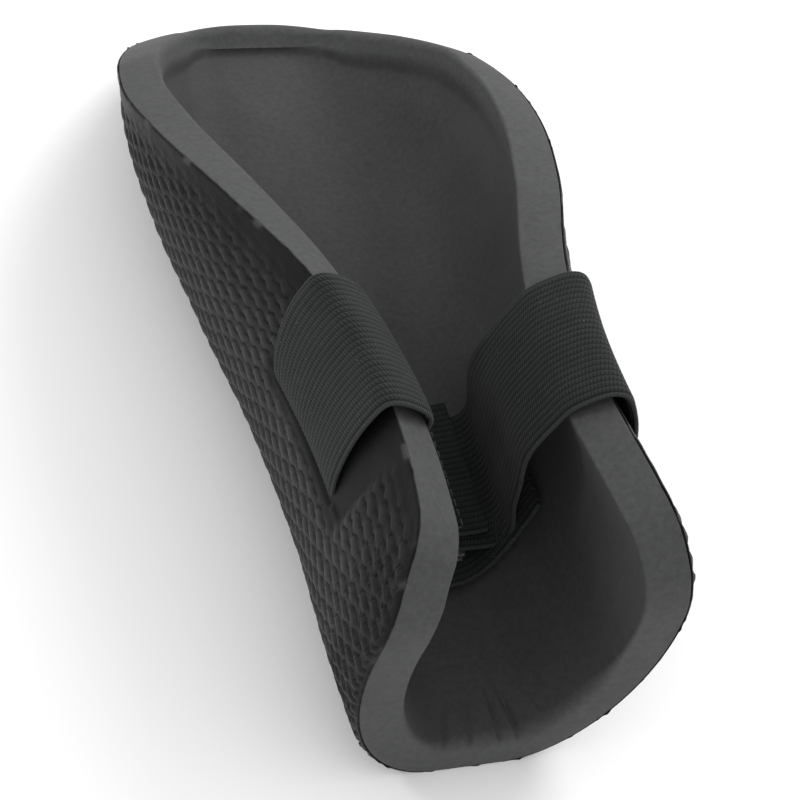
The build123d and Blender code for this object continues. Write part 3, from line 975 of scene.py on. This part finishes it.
def elastic_material():
    n = Nodes("elastic")
    place = n.place()
    along = n.attribute("along")
    across = n.attribute("across")
    rib = n.math("DIVIDE", n.math("SUBTRACT", across, STRAP_WIDTH / 2), RIB)
    ridge = n.math("ABSOLUTE", n.math("COSINE", n.math("MULTIPLY", rib, math.pi)))
    twist = n.math("ADD", n.math("DIVIDE", along, 0.85), n.math("MULTIPLY", rib, 0.55))
    knit = n.math("MULTIPLY", n.math("SINE", n.math("MULTIPLY", twist, 2 * math.pi)), ridge)
    from_edge = n.math("MINIMUM", across, n.math("SUBTRACT", STRAP_WIDTH, across))
    selvedge = n.span(from_edge, 0.35, 0.8, 1.0, 0.0)
    broad = n.noise(place, 120.0, 4.0)
    fuzz = n.noise(place, 3200.0, 3.0, 0.7)
    base = n.ramp(broad, [(0.3, (0.0115, 0.0128, 0.0128)), (0.7, (0.0155, 0.0172, 0.0172))])
    # Painted shade and highlight: darker in the grooves between the ribs, a little lighter on their crests.
    rib_painted_shade = n.span(ridge, 0.1, 0.6, 0.4, 1.12)
    shade = n.math("MULTIPLY", rib_painted_shade, n.span(knit, -1.0, 1.0, 0.55, 1.5))
    shade = n.math("MULTIPLY", shade, n.span(fuzz, 0.3, 0.7, 0.7, 1.3))
    tone = n.node("ShaderNodeCombineColor", None, Red=shade, Green=shade, Blue=shade).outputs[0]
    colour = n.mix(1.0, base, tone, "MULTIPLY")
    colour = n.mix(n.math("MULTIPLY", selvedge, 0.6), colour, (0.04, 0.044, 0.043))
    lint = n.span(n.noise(place, 1900.0, 1.0), 0.785, 0.80, 0.0, 1.0)
    colour = n.mix(n.math("MULTIPLY", lint, 0.6), colour, (0.3, 0.3, 0.28))
    near = n.bump(fuzz, 0.00008, 0.5)
    height = n.bump(knit, 0.00010, 0.7, near)
    return n.finish(Base_Color=colour, Roughness=0.85, Normal=height, Specular_IOR_Level=0.15,
                    Sheen_Weight=0.06, Sheen_Roughness=0.5)


def pile_material(name, low, high, scale, deep):
    n = Nodes(name)
    place = n.place()
    tufts = n.node("ShaderNodeTexVoronoi", None, Vector=place, Scale=scale).outputs["Distance"]
    fuzz = n.noise(place, scale * 2.2, 3.0)
    colour = n.ramp(tufts, [(0.0, high), (0.6, low)])
    height = n.bump(n.math("SUBTRACT", fuzz, tufts), deep, 1.0)
    rough = n.span(fuzz, 0.3, 0.7, 0.7, 0.95)
    return n.finish(Base_Color=colour, Roughness=rough, Normal=height, Sheen_Weight=0.4)


def thread_material():
    n = Nodes("thread")
    place = n.place()
    ply = n.noise(place, 2500.0, 2.0)
    colour = n.ramp(ply, [(0.3, (0.022, 0.025, 0.024)), (0.7, (0.045, 0.049, 0.048))])
    return n.finish(Base_Color=colour, Roughness=0.6, Normal=n.bump(ply, 0.0001, 0.8), Sheen_Weight=0.3)


def floor_material():
    n = Nodes("floor")
    place = n.place()
    colour = n.ramp(n.noise(place, 3.0, 2.0), [(0.3, (0.93, 0.93, 0.93)), (0.7, (0.95, 0.95, 0.95))])
    return n.finish(Base_Color=colour, Roughness=0.9, Specular_IOR_Level=0.1)


def wear(obj, material):
    obj.data.materials.clear()
    obj.data.materials.append(material)


# ---------------------------------------------------------------- camera and light
CAMERA_PLACE = (-0.2005, -0.3129, 0.476)
CAMERA_TURN = (0.31019, -0.56249, 0.41704)      # roll, pitch and yaw of the object before the camera, radians
FRAME_TILT = math.radians(-1.12)
CAMERA_LENS = 105.3
LIGHT_AIM = (0, 0.03, 0.04)
LIGHTS = (("key", (0.75, 0.60, 0.80), 0.85, 7.5), ("side", (-0.95, 0.45, 0.75), 0.30, 3.0))
FLOOR_HALF = 3000.0


def add_camera():
    roll, pitch, yaw = CAMERA_TURN
    seen = (Matrix.Rotation(roll, 3, "Z") @ Matrix.Rotation(pitch, 3, "X")
            @ Matrix.Rotation(yaw, 3, "Y") @ Matrix.Rotation(FRAME_TILT, 3, "X"))
    data = bpy.data.cameras.new("camera")
    data.sensor_width = 36
    data.lens = CAMERA_LENS
    data.clip_start, data.clip_end = 0.01, 20
    camera = bpy.data.objects.new("camera", data)
    camera.matrix_world = Matrix.Translation(CAMERA_PLACE) @ seen.transposed().to_4x4()
    bpy.context.scene.collection.objects.link(camera)
    bpy.context.scene.camera = camera


def add_light(name, place, size, watts):
    data = bpy.data.lights.new(name, "AREA")
    data.shape = "DISK"
    data.size = size
    data.energy = watts
    light = bpy.data.objects.new(name, data)
    light.location = place
    light.rotation_mode = "QUATERNION"
    light.rotation_quaternion = (Vector(LIGHT_AIM) - Vector(place)).to_track_quat("-Z", "Y")
    bpy.context.scene.collection.objects.link(light)


def add_studio():
    scene = bpy.context.scene
    scene.view_settings.view_transform = "Standard"
    world = bpy.data.worlds.new("studio")
    world.use_nodes = True
    background = world.node_tree.nodes["Background"]
    background.inputs["Color"].default_value = (1.0, 1.0, 1.0, 1)
    background.inputs["Strength"].default_value = 1.0
    scene.world = world
    for light in LIGHTS:
        add_light(*light)
    corners = np.array([(-1, -1, 0), (1, -1, 0), (1, 1, 0), (-1, 1, 0)]) * FLOOR_HALF
    floor = make_object("floor", corners, [[0, 1, 2, 3]])
    floor.data.materials.append(floor_material())


# ---------------------------------------------------------------- assembly
add_camera()
add_studio()

foam = build_foam()
wear(foam, foam_material())
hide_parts("inner_foam")
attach(foam, "pad")

tread = build_skin()
wear(tread, skin_material())
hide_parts("outer_tread")
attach(tread, "pad")

elastic = elastic_material()
straps = build_straps()
for node, piece in straps.items():
    wear(piece, elastic)
    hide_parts(node)
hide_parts("strap_right_hem")
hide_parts("strap_left_tail")
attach(straps["strap_core"], "pad")
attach(straps["strap_right_side"], "pad")
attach(straps["strap_left_side"], "pad")
for side in ("strap_right_leg", "strap_left_leg"):
    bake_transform(straps[side])
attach(straps["strap_left_end"], "strap_join")
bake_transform(straps["strap_right_end"])

thread = thread_material()
hook_thread = stitch_object("hook_stitches", stitch_rectangle(9.3, 17.8, STRAP_MIDDLE + 6), HEM_LEVEL + 0.72)
wear(hook_thread, thread)
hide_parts("hook_stitching")
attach(hook_thread, "hook_end")
loop_thread = stitch_object("loop_stitches", stitch_rectangle(6.8, 15.3, STRAP_MIDDLE), LOOP_STITCH_LEVEL)
wear(loop_thread, thread)
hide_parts("loop_stitching")
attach(loop_thread, "strap_join")

hook = pile_material("hook", (0.012, 0.012, 0.012), (0.05, 0.05, 0.05), 1400.0, 0.0004)
loop = pile_material("loop", (0.014, 0.015, 0.015), (0.045, 0.047, 0.047), 900.0, 0.0006)
for node, material in (("hook_tape", hook), ("loop_tape", loop)):
    cad_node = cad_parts[node]
    cad_node.data.materials.clear()
    cad_node.data.materials.append(material)
